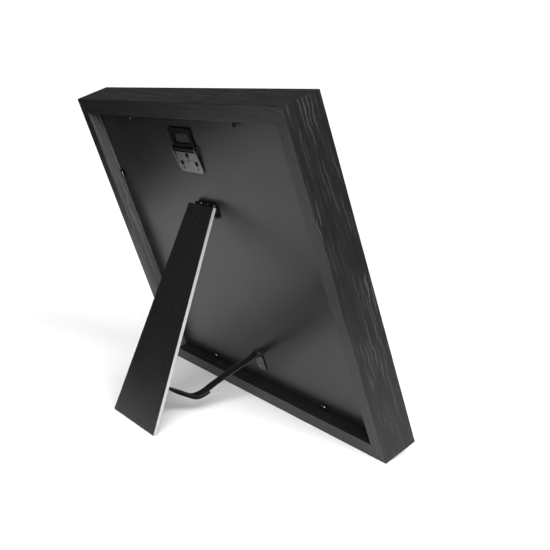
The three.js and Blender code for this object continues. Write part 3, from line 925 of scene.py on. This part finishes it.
TABS = []
for tab_name, tab_turn, tab_x, tab_z in (
    ("top_right", 0, 85.05, 269), ("top_left", 0, -85.05, 269),
    ("right_upper", 1, 150.5, 204.8), ("right_lower", 1, 150.5, 77.2),
    ("bottom_right", 2, 85.05, 13), ("bottom_left", 2, -85.05, 13),
    ("left_upper", 3, -150.5, 204.8), ("left_lower", 3, -150.5, 77.2),
):
    TABS.append((tab_name, at(tab_x * MM, -RECESS, tab_z * MM) @ quarter(tab_turn)))


def rail_shell(span):
    """An L in section along X, mitred at both ends."""
    bm = bmesh.new()
    section = [
        (0, 0), (0, -RAIL_W), (LIP_BACK, -RAIL_W), (LIP_BACK, -LIP_W), (-FRAME_D, -LIP_W), (-FRAME_D, 0),
    ]
    verts = [bm.verts.new((-span, y, z)) for y, z in section]
    push(bm, [bm.faces.new(verts)], (2 * span, 0, 0))
    for side in (1, -1):
        cut = bmesh.ops.bisect_plane(
            bm, geom=bm.verts[:] + bm.edges[:] + bm.faces[:], plane_co=(side * (span / 2 - 0.04 * MM), 0, 0),
            plane_no=(side, 0, -1), clear_outer=True,
        )
        rim = [g for g in cut["geom_cut"] if isinstance(g, bmesh.types.BMEdge)]
        bmesh.ops.contextual_create(bm, geom=rim)
    bmesh.ops.recalc_face_normals(bm, faces=bm.faces)
    along = [e for e in hard_edges(bm) if abs(e.verts[0].co.x - e.verts[1].co.x) > span / 2]
    soften(bm, sizes().wood_edge, 3, edges=along)
    ends = [e for e in hard_edges(bm) if abs(e.verts[0].co.x - e.verts[1].co.x) < span / 2]
    soften(bm, sizes().mitre_edge, 1, edges=ends)
    return bm


def map_grain(mesh, into_rail, show):
    """Lays the grain along the rail, says how much of it shows on each face, and marks the side rails' rebate
    walls for painted light.
    """
    grain = mesh.uv_layers.new(name="grain")
    shown = mesh.attributes.new("show", "FLOAT", "FACE")
    thin = mesh.attributes.new("thin", "FLOAT", "FACE")
    for polygon in mesh.polygons:
        normal = into_rail.to_3x3() @ polygon.normal
        outer = normal.z > 0.7
        inner = normal.z < -0.7 and -RECESS < (into_rail @ polygon.center).y
        shown.data[polygon.index].value = show if outer else FAINT
        # Marks the visible rebate walls of the side rails for the painted light.
        thin.data[polygon.index].value = float(inner and show == 1.0)
        flat = abs(normal.z) > abs(normal.y)
        for index in polygon.loop_indices:
            point = into_rail @ mesh.vertices[mesh.loops[index].vertex_index].co
            grain.data[index].uv = (point.x, point.y if flat else point.z + 0.06)


class PHOTO_FRAME_OT_rails(bpy.types.Operator):
    """Build the four mitred rails, with slots for the nails and points"""

    bl_idname = "photo_frame.rails"
    bl_label = "Wooden Rails"

    def execute(self, context):
        for index, (name, span, turn, place, show) in enumerate(RAILS):
            local = at(*place) @ quarter(turn)
            rail = finished(name + "_wood", rail_shell(span), local, [finish("stained_wood")])
            cuts = []
            for corner in CORNERS:
                for inset in NAIL_INSETS:
                    slot = sheet(nail_outline(0.25 * MM), 1.2 * MM, -0.5 * MM, edge=0)
                    cuts.append(moved(slot, nail_place(corner, inset)))
            for _, spot in TABS:
                cuts.append(moved(block(TAB_SLOT, (0, 0.7 * MM, 0), 0), spot))
            cut_away(rail, cuts)
            shift = Matrix.Translation((index * 0.7, 0, 0))
            map_grain(rail.data, shift @ local.inverted(), show)
            rail.data.transform(PANEL)
            settle(rail, "frame", name)
        return {"FINISHED"}


class PHOTO_FRAME_OT_nails(bpy.types.Operator):
    """Drive the V nails across the mitres"""

    bl_idname = "photo_frame.nails"
    bl_label = "V Nails"

    def execute(self, context):
        for corner in CORNERS:
            for number, inset in enumerate(NAIL_INSETS, 1):
                nail = sheet(nail_outline(0), 8.9 * MM, -NAIL_DEEP, edge=0.12 * MM)
                place = PANEL @ nail_place(corner, inset)
                name = f"v_nail_{corner[0]}_{number}"
                nail = finished(name + "_steel", nail, place, [finish("nail_steel")])
                settle(nail, "frame", name)
        return {"FINISHED"}


# ---- what lies in the rebate ----

# The eyelets' names and places on the hanger plate, in millimetres across and up, and the slit below each.
SLIT_W = 1.5 * MM
SLIT_H = 2.6 * MM
SLIT_DOWN = 4.6
EYELETS = [("top", 0, -6.2), ("right", 11.5, -13), ("left", -11.5, -13)]


def map_sheet(piece, centre):
    """A UV map in metres across and up the panel, from its lower left corner."""
    layer = piece.data.uv_layers.new(name="sheet")
    back = PANEL.inverted()
    for loop in piece.data.loops:
        point = back @ piece.data.vertices[loop.vertex_index].co
        layer.data[loop.index].uv = (point.x + centre, point.z)


class PHOTO_FRAME_OT_picture(bpy.types.Operator):
    """Lay the glass, the mat and a plain print in the rebate"""

    bl_idname = "photo_frame.picture"
    bl_label = "Glass, Mat and Print"

    def execute(self, context):
        middle = FRAME_H / 2
        pane = block((IN_REBATE_W, GLASS_T, IN_REBATE_H), (0, GLASS_MIDDLE, middle), 0.25 * MM)
        settle(finished("glass_sheet", pane, PANEL, [finish("clear_glass")]), "frame", "glass_pane")

        half_w, half_h = IN_REBATE_W / 2, IN_REBATE_H / 2
        open_w, open_h = half_w - MAT_BORDER, half_h - MAT_BORDER
        bevel = sizes().mat_bevel
        bm = bmesh.new()
        loops = []
        for w, h, y in (
            (half_w, half_h, MAT_BACK), (half_w, half_h, MAT_FRONT),
            (open_w + bevel, open_h + bevel, MAT_FRONT), (open_w, open_h, MAT_BACK),
        ):
            verts = [bm.verts.new((x, y, middle + z)) for x, z in oblong(-w, -h, w, h)]
            loops.append([bm.edges.new((a, b)) for a, b in zip(verts, verts[1:] + verts[:1])])
        for number in range(4):
            made = bmesh.ops.bridge_loops(bm, edges=loops[number] + loops[(number + 1) % 4])
            for face in made["faces"]:
                face.material_index = 1 if number == 2 else 0
        bmesh.ops.recalc_face_normals(bm, faces=bm.faces)
        mat = finished("mat_card", bm, PANEL, [finish("mat_card"), finish("card_core")])
        settle(mat, "frame", "mat_board")

        page = block((IN_REBATE_W, PRINT_T, IN_REBATE_H), (0, PRINT_MIDDLE, middle), 0.05 * MM)
        page = finished("hills_sheet", page, PANEL, [finish("hills_print")])
        map_sheet(page, half_w)
        settle(page, "frame", "art_print")
        return {"FINISHED"}


class PHOTO_FRAME_OT_board(bpy.types.Operator):
    """Cut the backing board"""

    bl_idname = "photo_frame.board"
    bl_label = "Backing Board"

    def execute(self, context):
        board = block(
            (IN_REBATE_W, BOARD_T, IN_REBATE_H), (0, -RECESS - BOARD_T / 2, FRAME_H / 2), sizes().board_edge
        )
        board = finished("paper_board", board, PANEL, [finish("board_paper")])
        pockets = []
        for _, x, z in EYELETS:
            pocket = block((SLIT_W, 3.6 * MM, SLIT_H), (x * MM, 0, (z - SLIT_DOWN) * MM), 0)
            pockets.append(moved(pocket, HANGER))
        cut_away(board, pockets)
        settle(board, "frame", "backing_board")
        return {"FINISHED"}


class PHOTO_FRAME_OT_points(bpy.types.Operator):
    """Press in the flexible points that hold the board"""

    bl_idname = "photo_frame.points"
    bl_label = "Flexible Points"

    def execute(self, context):
        for name, spot in TABS:
            blade = sheet(
                oblong(-3 * MM, -7.6 * MM, 3 * MM, 1.2 * MM), 0.5 * MM, 0.35 * MM, (0, 1), 2 * MM, 0.08 * MM
            )
            rows = [-1.0 * MM, -1.6 * MM, -2.2 * MM, -2.8 * MM]
            for row in rows:
                bmesh.ops.bisect_plane(
                    blade, geom=blade.verts[:] + blade.edges[:] + blade.faces[:], plane_co=(0, 0, row),
                    plane_no=(0, 0, 1),
                )
            for row in rows:
                beyond = [v for v in blade.verts if v.co.z < row - 0.05 * MM]
                bend = Matrix.Rotation(math.radians(5.2), 3, "X")
                bmesh.ops.rotate(blade, cent=(0, 0.6 * MM, row), matrix=bend, verts=beyond)
            node = "flex_tab_" + name
            point = finished(node + "_blade", blade, PANEL @ spot, [finish("spring_steel")])
            even(point)
            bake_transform(point)
            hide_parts(node)
        return {"FINISHED"}


# ---- the leg and its hinge ----

HINGE_HALF_W = 15 * MM
BOARD_LEAF_H = 12 * MM
LEG_LEAF_H = 23 * MM
LEAF_CORNER_R = 4 * MM
KNUCKLE_BORE = 0.9 * MM
KNUCKLE_R = 1.4 * MM
BOARD_KNUCKLE_X = 10.08 * MM
BOARD_KNUCKLE_W = 9.85 * MM
LEG_KNUCKLE_W = 9.7 * MM
BOARD_RIVET_X = 9.8 * MM
LEG_RIVET_X = 8 * MM
LEG_RIVET_DOWN = 19.5 * MM
LEG_TOP = -1.6 * MM
LEG_BOTTOM = -187 * MM
LEG_TOP_HALF_W = 19.75 * MM
LEG_BOTTOM_HALF_W = 35.9 * MM
STRAP_HALF_W = 6.5 * MM
STRAP_DOWN = 17 * MM
STRAP_RIVET_DOWN = 12.5 * MM


def leaf_shells(height, foot, knuckles, width):
    """A leaf with rounded lower corners and its knuckles round the pin."""
    top = -1.7 * MM
    outline_points = oblong(-HINGE_HALF_W, -height, HINGE_HALF_W, top)
    shells = [sheet(outline_points, LEAF_T, foot, (0, 1), LEAF_CORNER_R)]
    for x in knuckles:
        shells.append(tube(KNUCKLE_BORE, KNUCKLE_R, width, (x, 0, 0)))
        reach, rise = (2.3 * MM, -1.15 * MM) if foot < 0 else (1.5 * MM, -1.65 * MM)
        shells.append(block((width, LEAF_T, reach), (x, foot + LEAF_T / 2, rise)))
    return shells


class PHOTO_FRAME_OT_hinge(bpy.types.Operator):
    """Build the leg's hinge: two leaves, the pin and four rivets"""

    bl_idname = "photo_frame.hinge"
    bl_label = "Leg Hinge"

    def execute(self, context):
        pin_place = PANEL @ at(0, -PIN_IN, PIN_UP)
        foot = -RECESS + GAP + PIN_IN
        leaf = joined(leaf_shells(BOARD_LEAF_H, foot, (BOARD_KNUCKLE_X, -BOARD_KNUCKLE_X), BOARD_KNUCKLE_W))
        leaf = finished("board_leaf", leaf, pin_place, [finish("black_steel"), finish("plated_steel")])
        settle(leaf, "frame", "hinge_board_leaf")
        pin = finished("steel_pin", rod(0.6 * MM, 31 * MM, (0, 0, 0)), pin_place, [finish("plated_steel")])
        settle(pin, "frame", "hinge_pin")
        leaf = joined(leaf_shells(LEG_LEAF_H, 0.1 * MM, (0,), LEG_KNUCKLE_W))
        leaf = finished("leg_leaf", leaf, LEG, [finish("black_steel"), finish("plated_steel")])
        settle(leaf, "leg", "hinge_leg_leaf")
        for side, word in ((1, "right"), (-1, "left")):
            spot = PANEL @ at(side * BOARD_RIVET_X, 0, HINGE_RIVET_UP)
            head = rivet(-RECESS + RIVET_FOOT, -12.5 * MM)
            set_rivet("hinge_board_rivet_" + word, head, spot, "frame", "black_steel")
            spot = LEG @ at(side * LEG_RIVET_X, LEG_FACE, -LEG_RIVET_DOWN) @ FACING_IN
            head = rivet(RIVET_FOOT, SHANK_END)
            set_rivet("hinge_leg_rivet_" + word, head, spot, "leg", "black_steel")
        return {"FINISHED"}


class PHOTO_FRAME_OT_leg(bpy.types.Operator):
    """Cut the tapered leg: black paper on both faces and raw fibreboard edges"""

    bl_idname = "photo_frame.leg"
    bl_label = "Leg"

    def execute(self, context):
        paper = sizes().paper
        points = [
            (-LEG_BOTTOM_HALF_W, LEG_BOTTOM), (LEG_BOTTOM_HALF_W, LEG_BOTTOM),
            (LEG_TOP_HALF_W, LEG_TOP), (-LEG_TOP_HALF_W, LEG_TOP),
        ]
        bm = outline(points, y=LEG_FACE)
        faces = bm.faces[:]
        for depth in (paper, LEG_T - 2 * paper, paper):
            faces = push(bm, faces, (0, depth, 0))
        bmesh.ops.dissolve_degenerate(bm, dist=1e-7, edges=bm.edges)
        bmesh.ops.recalc_face_normals(bm, faces=bm.faces)
        inner = []
        for face in bm.faces:
            deep = face.calc_center_median().y - LEG_FACE
            inside = 0.1 * MM < deep < LEG_T - 0.1 * MM
            flat = abs(face.normal.y) > 0.5
            face.material_index = 1 if inside and not flat else 0
            if inside and flat:
                inner.append(face)
        bmesh.ops.delete(bm, geom=inner, context="FACES_ONLY")
        soften(bm, 0.14 * MM, 2)
        leg = finished("paper_leg", bm, LEG, [finish("leg_paper"), finish("raw_fibreboard")])
        settle(leg, "leg", "leg_board")
        return {"FINISHED"}


def strap_shells():
    """The small plate whose bar the ribbon is threaded round."""
    plate = oblong(-STRAP_HALF_W, -STRAP_DOWN, STRAP_HALF_W, -2.6 * MM)
    shells = [sheet(plate, LEAF_T, GAP, (0, 1), 3 * MM)]
    for side in (1, -1):
        x = side * 6 * MM
        shells.append(block((1 * MM, LEAF_T, 4.2 * MM), (x, GAP + LEAF_T / 2, -1.35 * MM)))
        shells.append(block((1 * MM, 2.8 * MM, 1.4 * MM), (x, 1.7 * MM, 0)))
    shells.append(rod(0.7 * MM, 12.8 * MM, (0, STRAP_BAR_RISE, 0)))
    return shells


class PHOTO_FRAME_OT_straps(bpy.types.Operator):
    """Build the two ribbon plates and their rivets"""

    bl_idname = "photo_frame.straps"
    bl_label = "Ribbon Plates"

    def execute(self, context):
        for body, word, place in (("frame", "anchor", BOARD_STRAP), ("leg", "leg", LEG_STRAP)):
            plate = finished(f"ribbon_{word}_strap", joined(strap_shells()), place, [finish("dull_steel")])
            settle(plate, body, f"ribbon_{word}_plate")
            head = rivet(RIVET_FOOT, SHANK_END)
            spot = place @ at(0, 0, -STRAP_RIVET_DOWN)
            set_rivet(f"ribbon_{word}_rivet", head, spot, body, "plated_steel")
        return {"FINISHED"}


# ---- the wall hanger ----

PLATE_HALF_W = 19 * MM
PLATE_DOWN = 21 * MM
PLATE_TOP = -3.5 * MM
EAR_DOWN = -17 * MM
EAR_FOOT_H = 1.3 * MM
EAR_H = 3.2 * MM
EAR_HALF_W = 1.7 * MM
EYELET_HOLE_R = 1.4 * MM
EYELET_BORE = 0.6 * MM
RING_OUTER = (-17.9 * MM, 0, 17.9 * MM, 17.5 * MM)
RING_WINDOW = (-12.9 * MM, 4 * MM, 12.9 * MM, 12.5 * MM)
RING_T = 0.9 * MM
RING_FOOT = 0.6 * MM
RING_EDGE = 0.2 * MM


class PHOTO_FRAME_OT_hanger(bpy.types.Operator):
    """Build the hanger plate, its pin and its three eyelets"""

    bl_idname = "photo_frame.hanger"
    bl_label = "Hanger Plate"

    def execute(self, context):
        face = oblong(-PLATE_HALF_W, -PLATE_DOWN, PLATE_HALF_W, PLATE_TOP)
        flat = sheet(face, LEAF_T, GAP, (0, 1), LEAF_CORNER_R, 0.2 * MM)
        flat = finished("hanger_flat", flat, IN_PLACE, [finish("plated_steel")])
        cuts = []
        for _, x, z in EYELETS:
            cuts.append(block((SLIT_W, 3 * MM, SLIT_H), (x * MM, LEAF_T, (z - SLIT_DOWN) * MM), 0))
            hole = moved(rod(EYELET_HOLE_R, 3 * MM, (0, 0, 0), 0), Matrix.Rotation(math.pi / 2, 4, "Z"))
            cuts.append(moved(hole, at(x * MM, LEAF_T, z * MM)))
        cut_away(flat, cuts)
        parts = [flat]
        side_view = [
            (GAP, EAR_DOWN), (EAR_FOOT_H, EAR_DOWN), (EAR_H, -EAR_HALF_W), (EAR_H, EAR_HALF_W),
            (GAP, EAR_HALF_W),
        ]
        for side in (1, -1):
            ear = sheet(side_view, LEAF_T, -LEAF_T / 2, (2, 3), 0.9 * MM)
            moved(ear, at(side * EAR_X) @ Matrix.Rotation(math.pi / 2, 4, "Z"))
            ear = finished("hanger_ear", ear, IN_PLACE, [finish("plated_steel")])
            cut_away(ear, [rod(1 * MM, 3 * MM, (side * EAR_X, HANGER_PIN_RISE, 0), 0)])
            parts.append(ear)
        whole = bmesh.new()
        for part in parts:
            whole.from_mesh(part.data)
            bpy.data.meshes.remove(part.data)
        plate = finished("hanger_steel", whole, IN_PLACE, [finish("plated_steel")])
        plate.data.transform(HANGER)
        settle(plate, "frame", "hanger_plate")
        pin = rod(0.7 * MM, 41 * MM, (0, HANGER_PIN_RISE, 0))
        pin = finished("hanger_rod", pin, HANGER, [finish("black_steel")])
        settle(pin, "frame", "hanger_pin")
        # The eyelets are blackened as painted shade, so that they read as dark holes in the plate.
        for word, x, z in EYELETS:
            head = rivet(RIVET_FOOT, SHANK_END, EYELET_BORE)
            spot = HANGER @ at(x * MM, 0, z * MM)
            set_rivet("hanger_eyelet_" + word, head, spot, "frame", "black_steel")
        return {"FINISHED"}


class PHOTO_FRAME_OT_ring(bpy.types.Operator):
    """Build the hanging ring on its barrel"""

    bl_idname = "photo_frame.ring"
    bl_label = "Hanging Ring"

    def execute(self, context):
        shells = [window_sheet(oblong(*RING_OUTER), oblong(*RING_WINDOW), RING_T, RING_FOOT, RING_EDGE)]
        shells.append(tube(0.95 * MM, 1.3 * MM, 35.8 * MM, (0, HANGER_PIN_RISE, 0)))
        metals = [finish("black_steel"), finish("plated_steel")]
        ring = finished("hanging_ring", joined(shells), HANGER, metals)
        settle(ring, "hanger_ring", "hanger_ring")
        return {"FINISHED"}


# ---- the add-on ----


class PHOTO_FRAME_PT_panel(bpy.types.Panel):
    """Steps that build the photo frame, in order"""

    bl_label = "Photo Frame"
    bl_idname = "PHOTO_FRAME_PT_panel"
    bl_space_type = "VIEW_3D"
    bl_region_type = "UI"
    bl_category = "Photo Frame"

    def draw(self, context):
        for step in STEPS:
            self.layout.operator(step.bl_idname)
        for group in (sizes(), finishes(), context.scene.photo_frame_stage):
            box = self.layout.box()
            for name in group.bl_rna.properties.keys():
                if name not in ("rna_type", "name"):
                    box.prop(group, name)


STEPS = (
    PHOTO_FRAME_OT_stage,
    PHOTO_FRAME_OT_ribbon,
    PHOTO_FRAME_OT_rails,
    PHOTO_FRAME_OT_nails,
    PHOTO_FRAME_OT_picture,
    PHOTO_FRAME_OT_board,
    PHOTO_FRAME_OT_points,
    PHOTO_FRAME_OT_hinge,
    PHOTO_FRAME_OT_leg,
    PHOTO_FRAME_OT_straps,
    PHOTO_FRAME_OT_hanger,
    PHOTO_FRAME_OT_ring,
)
GROUPS = {
    "photo_frame_sizes": PhotoFrameSizes,
    "photo_frame_finishes": PhotoFrameFinishes,
    "photo_frame_stage": PhotoFrameStage,
}
CLASSES = (*GROUPS.values(), *STEPS, PHOTO_FRAME_PT_panel)


def register():
    for item in CLASSES:
        bpy.utils.register_class(item)
    for name, group in GROUPS.items():
        setattr(bpy.types.Scene, name, PointerProperty(type=group))


def unregister():
    for name in GROUPS:
        delattr(bpy.types.Scene, name)
    for item in reversed(CLASSES):
        bpy.utils.unregister_class(item)


def main():
    register()
    for step in STEPS:
        getattr(bpy.ops.photo_frame, step.bl_idname.split(".")[1])()


if __name__ == "__main__":
    main()
